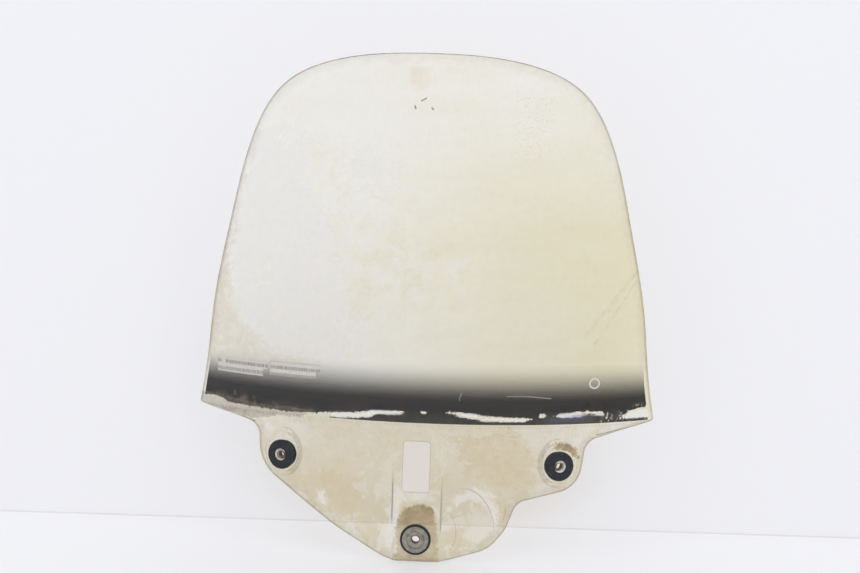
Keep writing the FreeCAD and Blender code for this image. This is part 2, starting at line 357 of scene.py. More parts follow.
def shell(name, flat, tris, front_depth, wall, rounding, materials):
    """A closed shell of even wall that follows the sheet, its edge rounded. Materials: front, back, edge."""
    n = front_normals(flat[:, 0], flat[:, 1])
    front = front_points(flat[:, 0], flat[:, 1]) - n * front_depth
    back = front - n * wall
    follow = boundary_next(tris)
    rim = sorted(follow)
    place = {v: i for i, v in enumerate(rim)}
    ahead = np.array([follow[v] for v in rim])
    ahead_place = np.array([place[follow[v]] for v in rim])
    before = np.zeros(len(rim), int)
    before[ahead_place] = rim
    tangent = front[ahead] - front[before]
    out = np.cross(tangent, n[rim])
    out /= np.linalg.norm(out, axis=1, keepdims=True)
    count = len(front)
    turns = [math.pi / 6, math.pi / 3, math.pi / 2] if rounding else []
    rings = [(math.sin(a), rounding * (1 - math.cos(a))) for a in turns]
    rings += [(reach, wall - depth) for reach, depth in rings[::-1]]
    verts = [front, back]
    verts += [front[rim] + out * rounding * reach - n[rim] * depth for reach, depth in rings]
    chain = [np.array(rim)]
    chain += [2 * count + k * len(rim) + np.arange(len(rim)) for k in range(len(rings))]
    chain.append(count + np.array(rim))
    faces = [tuple(t) for t in tris] + [tuple(t[::-1] + count) for t in tris]
    indices = [0] * len(tris) + [1] * len(tris)
    for a, b in zip(chain[:-1], chain[1:]):
        faces += [(a[i], b[i], b[j], a[j]) for i, j in enumerate(ahead_place)]
    indices += [2] * (len(faces) - len(indices))
    return make_mesh(name, np.concatenate(verts), faces, materials, indices)


def add_fields(obj, fields):
    """Stores each field's number for each vertex, from its front-view place, for the material to read."""
    co = np.zeros(len(obj.data.vertices) * 3)
    obj.data.vertices.foreach_get("co", co)
    x, z = co[0::3] / MM, co[2::3] / MM
    for name, rule in fields.items():
        layer = obj.data.attributes.new(name, "FLOAT", "POINT")
        layer.data.foreach_set("value", np.asarray(rule(x, z), np.float32))


def region(corners, softness):
    """A rule that is 0 outside a closed shape and 1 inside, and crosses 0.5 on its edge. Millimetres."""
    loop = np.array(corners, float)

    def rule(x, z):
        return np.clip(0.5 + edge_distance(np.stack([x, z], -1), loop) / (2 * softness), 0, 1)

    return rule


def regions(shapes, softness):
    """One rule for several closed shapes."""
    rules = [region(shape, softness) for shape in shapes]
    return lambda x, z: np.maximum.reduce([rule(x, z) for rule in rules])


def outline_of(rule):
    """A rule that is 1 along the edge of a region's rule."""
    return lambda x, z: 1 - np.abs(2 * rule(x, z) - 1)


# ---- materials


class Nodes:
    """Short ways to write a material's node tree."""

    def __init__(self, name):
        self.material = bpy.data.materials.new(name)
        self.material.use_nodes = True
        self.tree = self.material.node_tree
        self.tree.nodes.clear()
        self.place = self.make("ShaderNodeTexCoord", {}, "Object")

    def make(self, kind, inputs, out=0, **settings):
        """Adds a node, links or sets its inputs, leaving those that are None, and returns an output."""
        node = self.tree.nodes.new(kind)
        for key, value in settings.items():
            setattr(node, key, value)
        for key, value in inputs.items():
            socket = node.inputs[key]
            if isinstance(value, bpy.types.NodeSocket):
                self.tree.links.new(value, socket)
            elif isinstance(value, tuple) and socket.type == "RGBA":
                socket.default_value = (*value, 1.0)
            elif value is not None:
                socket.default_value = value
        return node.outputs[out]

    def math(self, operation, a, b=0.0, c=0.0):
        return self.make("ShaderNodeMath", {0: a, 1: b, 2: c}, operation=operation)

    def times(self, a, b):
        return self.math("MULTIPLY", a, b)

    def plus(self, a, b):
        return self.math("ADD", a, b)

    def minus(self, a, b):
        return self.math("SUBTRACT", a, b)

    def rest(self, a):
        """What is left of 1."""
        return self.math("SUBTRACT", 1.0, a)

    def times_plus(self, a, b, c):
        return self.math("MULTIPLY_ADD", a, b, c)

    def larger(self, a, b):
        return self.math("MAXIMUM", a, b)

    def gap(self, a, b):
        return self.math("ABSOLUTE", self.minus(a, b))

    def length(self, a, b):
        return self.math("SQRT", self.times_plus(a, a, self.times(b, b)))

    def field(self, name):
        return self.make("ShaderNodeAttribute", {}, "Fac", attribute_name=name)

    def axis(self, which):
        """One coordinate in millimetres."""
        return self.times(self.make("ShaderNodeSeparateXYZ", {0: self.place}, which), 1000.0)

    def mapped(self, scale, turn=0.0):
        """The object's coordinates, scaled, and turned about Y by degrees."""
        inputs = {"Vector": self.place, "Scale": [1 / s for s in scale]}
        inputs["Rotation"] = (0, math.radians(turn), 0)
        return self.make("ShaderNodeMapping", inputs, vector_type="TEXTURE")

    def noise(self, size, detail=3.0, rough=0.5, distortion=0.0, place=None):
        """Noise from 0 to 1 whose lumps are about size millimetres across."""
        inputs = {"Vector": self.place if place is None else place, "Scale": 1000.0 / size}
        inputs.update({"Detail": detail, "Roughness": rough, "Distortion": distortion})
        return self.make("ShaderNodeTexNoise", inputs, "Fac")

    def step(self, value, low, high, start=0.0, end=1.0, kind="SMOOTHSTEP"):
        """A change from start to end as value goes from low to high."""
        inputs = {0: value, 1: low, 2: high, 3: start, 4: end}
        return self.make("ShaderNodeMapRange", inputs, interpolation_type=kind)

    def mix(self, share, a, b):
        """Two colours mixed. The node's colour sockets are 6 and 7, and 2."""
        return self.make("ShaderNodeMix", {"Factor": share, 6: a, 7: b}, 2, data_type="RGBA")

    def ragged(self, name, noise, amount, sharp=0.06):
        """A soft field broken by noise into a ragged, hard-edged mask that keeps to the field."""
        mask = self.field(name) if isinstance(name, str) else name
        moved = self.times_plus(self.minus(noise, 0.5), amount, mask)
        return self.times(self.step(moved, 0.5 - sharp, 0.5 + sharp), self.step(mask, 0.0, 0.08))

    def strokes(self, x, z, lines):
        """1 on short straight marks, each given as its two ends and half width in millimetres."""
        total = 0.0
        for ax, az, bx, bz, half in lines:
            dx, dz = bx - ax, bz - az
            px, pz = self.minus(x, ax), self.minus(z, az)
            along = self.times_plus(px, dx, self.times(pz, dz))
            along = self.step(along, 0.0, dx * dx + dz * dz, kind="LINEAR")
            away = self.length(self.times_plus(along, -dx, px), self.times_plus(along, -dz, pz))
            total = self.larger(total, self.step(away, 0.5 * half, 1.5 * half, 1.0, 0.0))
        return total

    def arc(self, x, z, middle, semi, half, toward, spread):
        """1 on an oval's line, spread degrees to each side of a direction, fading across its half width."""
        u = self.times(self.minus(x, middle[0]), 1 / semi[0])
        v = self.times(self.minus(z, middle[1]), 1 / semi[1])
        r = self.length(u, v)
        line = self.step(self.gap(r, 1.0), 0.0, half / min(semi), 1.0, 0.0)
        turn = math.radians(toward)
        dot = self.times_plus(u, math.cos(turn), self.times(v, math.sin(turn)))
        limit = math.cos(math.radians(spread))
        return self.times(line, self.step(self.math("DIVIDE", dot, r), limit - 0.12, limit + 0.12))

    def bump(self, height, distance, strength):
        return self.make("ShaderNodeBump", {"Strength": strength, "Distance": distance, "Height": height})

    def principled(self, colour, roughness, normal=None, **more):
        inputs = {"Base Color": colour, "Roughness": roughness, "Normal": normal}
        inputs.update({key.replace("_", " "): value for key, value in more.items()})
        return self.make("ShaderNodeBsdfPrincipled", inputs)

    def transparent(self, colour):
        return self.make("ShaderNodeBsdfTransparent", {0: colour})

    def glossy(self, roughness, normal=None):
        inputs = {"Color": (1, 1, 1), "Roughness": roughness, "Normal": normal}
        return self.make("ShaderNodeBsdfGlossy", inputs)

    def gloss_share(self, normal=None):
        """How much a clear surface mirrors, alike from both sides: a little, and more at a glancing angle."""
        facing = self.make("ShaderNodeLayerWeight", {"Blend": 0.5, "Normal": normal}, "Facing")
        return self.times_plus(self.math("POWER", facing, 5.0), 1.0 - CLEAR_MIRROR, CLEAR_MIRROR)

    def blend(self, share, a, b):
        return self.make("ShaderNodeMixShader", {0: share, 1: a, 2: b})

    def finish(self, shader):
        out = self.tree.nodes.new("ShaderNodeOutputMaterial")
        self.tree.links.new(shader, out.inputs["Surface"])
        return self.material


CLEAR_MIRROR = 0.04
# Colours that the sheet passes: least and most yellowed, with its coating gone, and at its flange
PALE_TINT = (0.99, 0.98, 0.93)
YELLOW_TINT = (0.905, 0.855, 0.645)
PEELED_TINT = (0.972, 0.956, 0.92)
FLANGE_TINT = (0.915, 0.89, 0.775)
LOW_FLANGE_TINT = (0.81, 0.77, 0.605)
# Short marks, from (x, z) to (x, z) with their half width, in millimetres
PALE_SCRATCHES = ((45, 164, 43, 156, 0.4), (95, 161.5, 118, 161.5, 0.4), (118, 161.5, 143, 159, 0.6))
DARK_SCRATCHES = ((238, 303, 180, 230, 2.0), (235, 289, 190, 219, 1.5), (220, 280, 204, 256, 3.0))
# Dark lines along the lower edges of the shoulders and ears are painted shade
SHADED_EDGE_LINES = (
    (-261, 127.5, -190, 115.5, 0.8), (-186.5, 108, -184.5, 80, 0.7), (261, 127.5, 196, 115.5, 0.7),
    (186, 104, 184, 74, 0.6),
)
CHIPS = ((-16, 474.6, -15.5, 472, 1.0), (-9, 480.5, -4, 483.4, 0.8), (2.4, 473, 4, 471.5, 0.9))
# Painted shade along the creases round the bulge on the flange: middle, half sizes and half width in
# millimetres, direction and spread in degrees
BULGE_SHADE_ARCS = (
    ((27, 8), (17, 26), 0.6, 5, 55),
    ((50, 6), (36, 52), 0.9, 48, 42),
    ((86, 34), (11.5, 20), 0.9, -10, 25),
)
# Painted shade round each raised seat: how far inside its edge and half width in millimetres, and spread in
# degrees
SEAT_SHADE_ARCS = ((1.6, 3.2, 62), (0.0, 0.9, 95), (4.4, 1.0, 75))


def seat_and_bulge_shade(n, x, z):
    """Painted shade: dark arcs on the inner side of the raised seats, and along the creases round the bulge.
    """
    shade = 0.0
    for angle, hole_z in SEATS:
        middle = (BEND_RADIUS * math.sin(angle) / MM, (hole_z + SEAT_ABOVE_HOLE) / MM)
        across, tall = SEAT_SEMI[0] * math.cos(angle) / MM, SEAT_SEMI[1] / MM
        inner = 0 if angle < 0 else 180
        for less, half, spread in SEAT_SHADE_ARCS:
            arc = n.arc(x, z, middle, (across - less, tall - less), half, inner, spread)
            shade = n.larger(shade, arc)
    for arc in BULGE_SHADE_ARCS:
        shade = n.larger(shade, n.arc(x, z, *arc))
    return shade


def sheet_front_material():
    """Clear plastic yellowed with age, its coating worn off in patches, with stains, grime and scratches, and
    painted shade and highlights along its fold and creases.
    """
    n = Nodes("sheet_front")
    x, z = n.axis("X"), n.axis("Z")
    fine = n.noise(7, 5, 0.62, 0.4)
    grit = n.noise(2.6, 3, 0.6)
    blotch = n.noise(26, 5, 0.6, 0.3)
    cloud = n.noise(140, 3, 0.5)
    streak = n.noise(60, 4, 0.55, 0.2, n.mapped((0.22, 1, 1.6), -4.0))
    drip = n.noise(34, 2, 0.4, 0.3, n.mapped((1.2, 1, 0.3)))
    rough_edge = n.noise(24, 12, 0.86, 0.3)
    torn = n.noise(13, 9, 0.76, 0.4)
    flecked = n.times_plus(n.step(n.noise(60, 3, 0.5), 0.52, 0.66), -0.4, n.field("peel"))
    peeled = n.ragged(flecked, rough_edge, 4.4, 0.1)
    flange = n.field("flange")
    open_sheet = n.rest(n.field("banded"))
    upper = n.times(open_sheet, n.rest(flange))
    stained = n.ragged("stain", torn, 3.6, 0.16)
    grime = n.ragged("grime", torn, 2.0, 0.16)
    bare = n.ragged("bare", torn, 2.8, 0.2)
    soiled = n.times(n.ragged("soiled", rough_edge, 3.8, 0.25), open_sheet)
    soiled = n.times(soiled, n.step(torn, 0.35, 0.6, 0.5, 1.3))
    rim = n.times(n.ragged("rim", rough_edge, 2.0, 0.3), open_sheet)
    specks = n.step(n.noise(1.9, 3, 0.6, 0.0, n.mapped((0.6, 1, 1))), 0.52, 0.64)
    tape = n.times(n.field("tape"), n.step(rough_edge, 0.35, 0.6, 0.6, 1.0))
    mottled = n.times(flange, n.step(rough_edge, 0.47, 0.62))
    tan = n.times(n.field("mottled"), n.step(blotch, 0.4, 0.6))
    drips = n.step(n.gap(drip, 0.5), 0.006, 0.018, 1.0, 0.0)
    # Painted highlights: whitish slivers along the fold where it would mirror the bright room
    painted_glint = n.ragged("painted_glint", grit, 0.8, 0.2)
    # Painted reflection: a faint bluish sheen over the dark ink at the fold
    painted_sheen = n.field("painted_sheen")
    # What passes straight through
    warm = n.larger(n.times_plus(x, 0.0037, 0.32), 0.06)
    warm = n.times(warm, n.step(z, 280, 510, 1.0, 0.25))
    warm = n.plus(warm, n.step(cloud, 0.35, 0.65, -0.07, 0.07))
    warm = n.plus(warm, n.times(upper, n.step(streak, 0.35, 0.65, -0.07, 0.1)))
    warm = n.times_plus(tan, 0.3, warm)
    tint = n.mix(n.larger(warm, 0.0), PALE_TINT, YELLOW_TINT)
    tint = n.mix(soiled, tint, (0.91, 0.875, 0.765))
    tint = n.mix(peeled, tint, PEELED_TINT)
    tint = n.mix(flange, tint, n.mix(n.step(z, 0, 115), LOW_FLANGE_TINT, FLANGE_TINT))
    tint = n.mix(n.times(mottled, 0.6), tint, (0.93, 0.85, 0.65))
    pale = n.times(flange, n.step(n.noise(38, 11, 0.74, 0.5), 0.5, 0.56))
    tint = n.mix(n.times(pale, 0.65), tint, (0.965, 0.95, 0.89))
    stained = n.times(stained, n.step(n.noise(9, 6, 0.7), 0.35, 0.6, 0.5, 1.0))
    tint = n.mix(n.times(stained, 0.75), tint, (0.875, 0.79, 0.59))
    tint = n.mix(tape, tint, (0.93, 0.87, 0.71))
    thick = n.step(z, 4, 26, 0.6, 1.0)
    grime = n.times(grime, n.larger(thick, n.step(z, 80, 90)))
    tint = n.mix(grime, tint, (0.8, 0.68, 0.44))
    tint = n.mix(bare, tint, (0.97, 0.95, 0.89))
    # What lies on the surface and hides what is behind
    cover = n.times(n.step(fine, 0.4, 0.8, 0.008, 0.03), open_sheet)
    cover = n.times_plus(flange, 0.03, cover)
    film = n.mix(flange, (0.78, 0.75, 0.62), (0.66, 0.6, 0.45))
    layers = (
        (peeled, 0.04, (0.86, 0.855, 0.84)),
        (soiled, 0.06, (0.55, 0.47, 0.32)),
        (n.times(tan, n.step(fine, 0.5, 0.62)), 0.05, (0.55, 0.46, 0.3)),
        (mottled, 0.05, (0.52, 0.42, 0.25)),
        (stained, 0.07, (0.48, 0.37, 0.22)),
        (bare, 0.2, (0.84, 0.81, 0.77)),
        (tape, 0.07, (0.5, 0.38, 0.2)),
        (grime, 0.42, (0.26, 0.19, 0.08)),
        (rim, 0.1, (0.42, 0.32, 0.2)),
        (n.times(grime, n.step(torn, 0.45, 0.62)), 0.12, (0.12, 0.09, 0.05)),
        (n.times(n.field("freckled"), specks), 0.1, (0.55, 0.3, 0.14)),
        (n.times(n.field("dripped"), drips), 0.1, (0.85, 0.84, 0.8)),
        # The dirt field: dark lines along the tongue's sides, part dirt and part painted shade, and a line of
        # painted shade in the fold's crease
        (n.field("dirt"), 0.7, (0.16, 0.13, 0.09)),
        (n.field("edge"), 0.16, (0.26, 0.22, 0.16)),
        (n.step(grit, 0.71, 0.76), 0.18, (0.3, 0.24, 0.16)),
        (n.strokes(x, z, PALE_SCRATCHES), 0.3, (0.75, 0.73, 0.68)),
        (n.times(n.strokes(x, z, DARK_SCRATCHES), n.step(torn, 0.3, 0.65)), 0.15, (0.3, 0.25, 0.15)),
        # Painted shade along the shoulders' and ears' lower edges
        (n.strokes(x, z, SHADED_EDGE_LINES), 0.45, (0.2, 0.17, 0.12)),
        # Painted fold shade and soil along the left shoulder
        (n.ragged("fold_shade_and_soil", torn, 2.0, 0.25), 0.34, (0.22, 0.17, 0.12)),
        # Painted shade round the raised seats and along the creases round the bulge
        (seat_and_bulge_shade(n, x, z), 0.34, (0.3, 0.25, 0.17)),
        # Painted highlight and painted reflection along the fold
        (painted_glint, 0.55, (0.9, 0.89, 0.85)),
        (painted_sheen, 0.1, (0.62, 0.62, 0.9)),
        (n.strokes(x, z, CHIPS), 0.75, (0.16, 0.14, 0.11)),
    )
    for mask, share, colour in layers:
        film = n.mix(mask, film, colour)
        cover = n.times_plus(mask, share, cover)
    cover = n.math("MINIMUM", cover, 0.93)
    relief = n.bump(n.times_plus(peeled, -0.5, fine), 0.03 * MM, 0.15)
    scratched = n.step(fine, 0.4, 0.8, 0.05, 0.2)
    clear = n.blend(n.gloss_share(relief), n.transparent(tint), n.glossy(scratched, relief))
    solid = n.principled(film, n.step(fine, 0.3, 0.7, 0.35, 0.6), relief)
    return n.finish(n.blend(cover, clear, solid))


def sheet_back_material():
    """The sheet's inner face: clear, a little dusty."""
    n = Nodes("sheet_back")
    fine = n.noise(9, 4, 0.6)
    bare = n.rest(n.field("banded"))
    gloss = n.times(n.gloss_share(), bare)
    clear = n.blend(gloss, n.transparent((0.99, 0.988, 0.975)), n.glossy(0.06))
    dust = n.principled((0.7, 0.68, 0.6), n.step(fine, 0.3, 0.7, 0.4, 0.6))
    share = n.times(n.step(fine, 0.45, 0.8, 0.01, 0.04), bare)
    return n.finish(n.blend(share, clear, dust))


def sheet_edge_material():
    """The cut edge, dark with dirt."""
    n = Nodes("sheet_edge")
    worn = n.noise(14, 4, 0.6)
    kept = n.times_plus(n.field("flange"), -0.55, 1.0)
    dirty = n.times(n.times(n.field("edge"), kept), n.step(worn, 0.4, 0.65, 1.0, 0.45))
    colour = n.mix(dirty, (0.32, 0.28, 0.21), (0.065, 0.056, 0.045))
    body = n.principled(colour, 0.4)
    clear = n.transparent((0.89, 0.86, 0.78))
    return n.finish(n.blend(n.times_plus(dirty, 0.64, 0.1), clear, body))


def fine_boxes(bottom):
    """Where the sheet is shaped and its mesh finer: low and high corners of a box, and the steps in it."""
    fold_low, fold_high = FOLD_LOW_Z - 2 * FINE_MARGIN, FOLD_Z + 2 * FINE_MARGIN
    yield (-HALF_WIDTH, fold_low), (HALF_WIDTH, fold_high), 4 * MM, 1.6 * MM
    for x in (-TONGUE_HALF_WIDTH, TONGUE_HALF_WIDTH):
        yield (x - 3 * MM, bottom), (x + 3 * MM, TONGUE_END_Z), 0.75 * MM, 3 * MM
    for angle, z in SEATS:
        x = BEND_RADIUS * math.sin(angle)
        yield (x - 26 * MM, z - 28 * MM), (x + 26 * MM, z + 33 * MM), 1.5 * MM, 1.5 * MM
    x, z, semi_x, semi_z = BULGE
    low = (x - semi_x - FINE_MARGIN, z - semi_z)
    yield low, (x + semi_x + FINE_MARGIN, z + semi_z + FINE_MARGIN), 2.5 * MM, 2.5 * MM


def make_screen(materials):
    """The formed sheet as one closed mesh, finely divided where it is shaped, and its outline."""
    outline = sheet_outline()
    holes = [window_outline(), round_outline(0, node_middle("grommet_lower").z, HOLE_R, HOLE_SIDES)]
    for angle, z in SEATS:
        x = BEND_RADIUS * math.sin(angle)
        holes.append(round_outline(x, z, HOLE_R, HOLE_SIDES, math.cos(angle)))
    low, high = outline.min(axis=0), outline.max(axis=0)
    points = [grid_points(low, high, MESH_STEP, MESH_STEP)]
    for a, b, step_x, step_z in fine_boxes(low[1]):
        points = [p[(p < a).any(axis=1) | (p > b).any(axis=1)] for p in points]
        points.append(grid_points(a, b, step_x, step_z))
    points = np.concatenate(points)
    points = points[within(points, [outline, *holes], OUTLINE_GAP, EDGE_GAP)]
    loops = [inset(outline, EDGE_ROUNDING)] + [inset(h, -EDGE_ROUNDING) for h in holes]
    flat, tris = triangulated(loops, points)
    return shell("screen_sheet", flat, tris, 0.0, WALL, EDGE_ROUNDING, materials), outline


# Where the sheet is worn and dirty, and where shade and highlights are painted on it, in millimetres in the
# front view
PEELED = (
    ((-206, 437), (-180, 462), (-158, 452), (-133, 432), (-124, 393), (-98, 348), (-86, 283), (-61, 238),
     (-66, 205), (-124, 190), (-176, 196), (-212, 240), (-228, 286), (-224, 341), (-212, 400)),
    ((-80, 418), (-52, 420), (-24, 408), (-22, 386), (-50, 380), (-76, 392)),
)
MOTTLED = ((-140, 430), (-60, 410), (-10, 340), (40, 300), (30, 262), (-40, 235), (-90, 215), (-125, 300))
SOILED = (
    (-262, 128), (-262, 400), (-222, 400), (-226, 300), (-214, 236), (-180, 204), (-120, 196), (-120, 128),
)
STAINED = (
    ((-139, 46), (-122, 62), (-94, 68), (-70, 60), (-62, 44), (-79, 16), (-121, 32)),
    ((38, 112), (97, 124), (131, 90), (126, 63), (86, 57), (46, 84)),
    ((-152, 62), (-140, 70), (-126, 52), (-140, 40)),
    ((88, 48), (101, 40), (101, 9), (90, 16)),
    ((36, 8), (52, 12), (60, -8), (40, -16)),
)
GRIMED = (
    ((-22, -27), (-21, -14), (-22.5, 4), (-20, 22), (-15, 33), (-5, 38), (7, 39), (17, 34.5), (22, 24),
     (24, 6), (24, -12), (25.5, -27)),
    ((144, 101), (150, 107), (164, 108), (174, 100), (176, 90), (170, 92), (164, 101), (150, 101)),
)
BARE = (
    ((-27, 58), (-14, 52), (10, 53), (22, 43), (27, 20), (32, 26), (40, 48), (60, 60), (82, 54), (88, 30),
     (92, 6), (86, 2), (80, 34), (60, 48), (40, 38), (26, 8), (18, 44), (-18, 44), (-22, 0), (-32, -22),
     (-34, 30)),
    ((100, 46), (114, 50), (116, 38), (101, 22)),
    ((-184, 113), (-172, 117), (-166, 108), (-178, 105)),
    ((-110, 48), (-100, 44), (-104, 28), (-114, 34)),
    ((160, 112), (186, 116), (196, 108), (176, 104)),
)
TAPE = ((-22, 517), (0, 516), (0, 501), (-6, 494), (-16, 494), (-22, 500))
TAPE_TOP = ((18, 517.5), (33, 517), (33, 514.5), (19, 515))
# Dark lines along the tongue's creased sides, part dirt and part painted shade: side, top and bottom in
# millimetres, and strength
TONGUE_SHADE_AND_DIRT = ((-1, 92, 24, 0.9), (1, 80, 14, 0.8))
SHADE_AND_DIRT_HALF_WIDTH = 1.2
# How far above the fold the flange's looks end
FLANGE_REACH = 14
# Painted glints along the fold, and a painted bluish sheen
PAINTED_GLINTS = (
    ((-124, 133.5), (-111, 134), (-82, 136.5), (-52, 140.6), (-17, 141.6), (-16, 139.8), (-48, 137),
     (-55, 132.5), (-90, 130.5)),
    ((26, 142.1), (40, 142.9), (50, 141.9), (72, 139.4), (94, 138), (121, 136.9), (115, 133.2),
     (72, 133.6), (42, 139.3)),
    ((144, 137.5), (154, 140.8), (170, 143.2), (189, 143.6), (201, 142.5), (203, 138.8), (187, 140.1),
     (156, 136.7)),
    ((224, 136), (231, 140.6), (241, 143.5), (253, 145), (258, 134), (245, 133), (226, 133)),
)
PAINTED_SHEEN = ((138, 136), (150, 139), (170, 140), (186, 139), (190, 134), (160, 132), (140, 132))
FRECKLED = ((84, 500), (140, 494), (136, 410), (96, 418))
DRIPPED = ((-60, 500), (40, 515), (34, 440), (0, 400), (-50, 430))
# A dark strip along the fold on the left shoulder: painted shade of the fold, and soil
FOLD_SHADE_AND_SOIL = (
    (-262, 142), (-232, 140), (-205, 137), (-165, 136), (-118, 135), (-135, 128), (-165, 126), (-186, 120),
    (-205, 121), (-238, 126), (-262, 131),
)


def weather(sheet, outline):
    """Gives the sheet the fields that its material turns into wear, dirt, painted shade and painted
    highlights.
    """
    peeled, thinned = region(PEELED[0], 14), region(PEELED[1], 30)
    mottled = region(MOTTLED, 40)
    tape, tape_top = region(TAPE, 2.5), region(TAPE_TOP, 2)

    def edge_rule(reach):
        return lambda x, z: np.clip(1 - edge_distance(np.stack([x, z], -1), outline / MM) / reach, 0, 1)

    def crease_shade_and_dirt_rule(x, z):
        # Each line fades in from its top over 40 mm and out past its bottom over 12 mm
        dirt = 0 * x
        for side, top, low, share in TONGUE_SHADE_AND_DIRT:
            line = share * np.exp(-(((x - side * TONGUE_HALF_WIDTH / MM) / SHADE_AND_DIRT_HALF_WIDTH) ** 2))
            dirt = np.maximum(dirt, line * ramp((top - z) / 40) * ramp((z - low + 12) / 12))
        # A thin line of painted shade in the fold's crease
        crease = 0.3 * np.exp(-(((z - FOLD_Z / MM + 0.5) / SHADE_AND_DIRT_HALF_WIDTH) ** 2))
        return np.maximum(dirt, crease)

    def tape_rule(x, z):
        rim = 0.5 * outline_of(tape)(x, z)
        fading = np.exp(-np.maximum(x + 20, 0) / 14)
        return np.maximum(np.maximum(tape(x, z), rim) * (0.3 + 0.7 * fading), 0.6 * tape_top(x, z))

    add_fields(sheet, {
        "peel": lambda x, z: np.maximum.reduce([peeled(x, z), thinned(x, z), 0.4 * mottled(x, z)]),
        "mottled": mottled,
        "soiled": region(SOILED, 16),
        "stain": regions(STAINED, 10),
        "grime": regions(GRIMED, 5),
        "bare": regions(BARE, 7),
        "tape": tape_rule,
        "painted_glint": regions(PAINTED_GLINTS, 1.2),
        "painted_sheen": region(PAINTED_SHEEN, 5),
        "fold_shade_and_soil": region(FOLD_SHADE_AND_SOIL, 3),
        "freckled": region(FRECKLED, 12),
        "dripped": region(DRIPPED, 15),
        "flange": lambda x, z: ramp((FOLD_Z / MM + FLANGE_REACH - z) / 5),
        "banded": lambda x, z: ramp((z - FOLD_Z / MM) / 3) * ramp((BAND_TOP_Z + 12 - z) / 40),
        "dirt": crease_shade_and_dirt_rule,
        "edge": lambda x, z: edge_rule(2.5)(x, z) ** 2,
        "rim": edge_rule(18),
    })


# ---- prints

BAND_SIDE = ((257.0, 129.2), (250.7, 170.0), (248.6, 193.5))
BAND_TOP_Z = 195.5
BAND_SIDE_TOP_Z = 193.5
# The fade would start at the first height, just above the band, and is black at the second
FADE_START_Z = 197.6
BAND_BLACK_Z = 153.8
BAND_LEFT_REACH = 2.6
DOT_PITCH = 2.2
# Below this the ink is flaked, so its mesh is finer
FLAKED_TOP_Z = 154 * MM
INK_WALL = 0.2 * MM
# How far the labels' print stands out in front, and its own thickness, a little less
PRINT = 0.15 * MM
PRINT_WALL = 0.12 * MM
# How much shorter a label's lower row is
ROW_STEP = 5 * MM
RING_WIDTH = 1.8 * MM
# Where the ink has come off, and where it is going, in millimetres in the front view
FLAKED = (
    ((-262, 136.8), (-244, 139.2), (-232, 137), (-224, 133.4), (-189, 132.4), (-152, 131.6), (-128, 132.6),
     (-111, 134.4), (-82, 136.5), (-52, 140.4), (-17, 141.5), (-16, 139.9), (-48, 137), (-53, 134),
     (-71, 131.2), (-100, 130.4), (-101, 120), (-262, 120)),
    ((0.8, 142.3), (5.2, 143.2), (9.8, 141.5), (7.5, 139.6), (2, 139.4)),
    ((26, 142.1), (40, 142.9), (50, 141.9), (72, 139.4), (94, 138), (121, 136.9), (125, 135), (115, 133.2),
     (94, 133.2), (72, 133.8), (55, 135.7), (42, 139.3), (31, 141)),
    ((128, 137.7), (133, 142.1), (138.5, 140.9), (138.4, 137.6), (133, 136.3)),
    ((146, 138), (154, 140.6), (170, 143), (189, 143.4), (201, 142.3), (203, 138.8), (187, 140.1),
     (170, 139), (156, 136.7)),
    ((224, 136.5), (231, 140.6), (241, 143.3), (253, 144.7), (262, 146), (262, 132), (245, 132.6),
     (226, 133)),
)
FLAKING = ((196, 129), (200, 140), (208, 143), (226, 143), (250, 152), (258, 150), (258, 129))
LUMPED = ((150, 144), (170, 152), (185, 157), (240, 157), (246, 149), (200, 146))
DULLED = (
    (-240, 142), (-215, 148), (-190, 142), (-150, 138), (-120, 136), (-150, 131), (-215, 134), (-235, 138),
)


def ink_material():
    """Black ink whose dots shrink upward into a fade, flaked off along the fold."""
    n = Nodes("fade_ink")
    x, z = n.axis("X"), n.axis("Z")
    dark = n.step(z, FADE_START_Z, BAND_BLACK_Z)
    around = math.pi * 2 / (DOT_PITCH * math.sqrt(2))
    u = n.math("COSINE", n.times(n.plus(x, z), around))
    v = n.math("COSINE", n.times(n.minus(x, z), around))
    room = n.times(dark, n.rest(dark))
    held = n.times_plus(n.times(n.plus(u, v), room), -0.3, dark)
    # A line of sight passes both faces of the film
    held = n.rest(n.math("SQRT", n.rest(held)))
    flaked = n.ragged("flake", n.noise(3.2, 4, 0.7, 0.5, n.mapped((1, 1, 0.7))), 2.6, 0.1)
    held = n.times(held, n.rest(flaked))
    cloud = n.noise(30, 6, 0.65, 0.4, n.mapped((0.5, 1, 1)))
    colour = n.mix(n.step(cloud, 0.45, 0.65), (0.006, 0.006, 0.008), (0.028, 0.021, 0.015))
    lumps = n.times(n.step(n.noise(7, 4, 0.6), 0.55, 0.62), n.field("lumped"))
    colour = n.mix(n.step(z, 138, 156), colour, (0.02, 0.018, 0.018))
    colour = n.mix(lumps, colour, (0.001, 0.001, 0.001))
    dull = n.times(n.field("dulled"), n.step(n.noise(8, 8, 0.75), 0.47, 0.6))
    colour = n.mix(n.times(dull, 0.6), colour, (0.22, 0.17, 0.12))
    ink = n.principled(colour, 0.6, Specular_IOR_Level=0.05)
    return n.finish(n.blend(held, n.transparent((1, 1, 1)), ink))


def band_outline():
    """The film's edge, anticlockwise."""
    right = [(x * MM, z * MM) for x, z in BAND_SIDE]
    left = [(-x - BAND_LEFT_REACH * MM, z) for x, z in right]
    across = np.linspace(1, -1, 60)[1:-1] * right[-1][0]
    rise = (BAND_TOP_Z - BAND_SIDE_TOP_Z) * MM
    top = [(x, BAND_SIDE_TOP_Z * MM + rise * (1 - (x / right[-1][0]) ** 2)) for x in across]
    return divided(np.array([*right, *top, *left[::-1]]), 3 * MM)


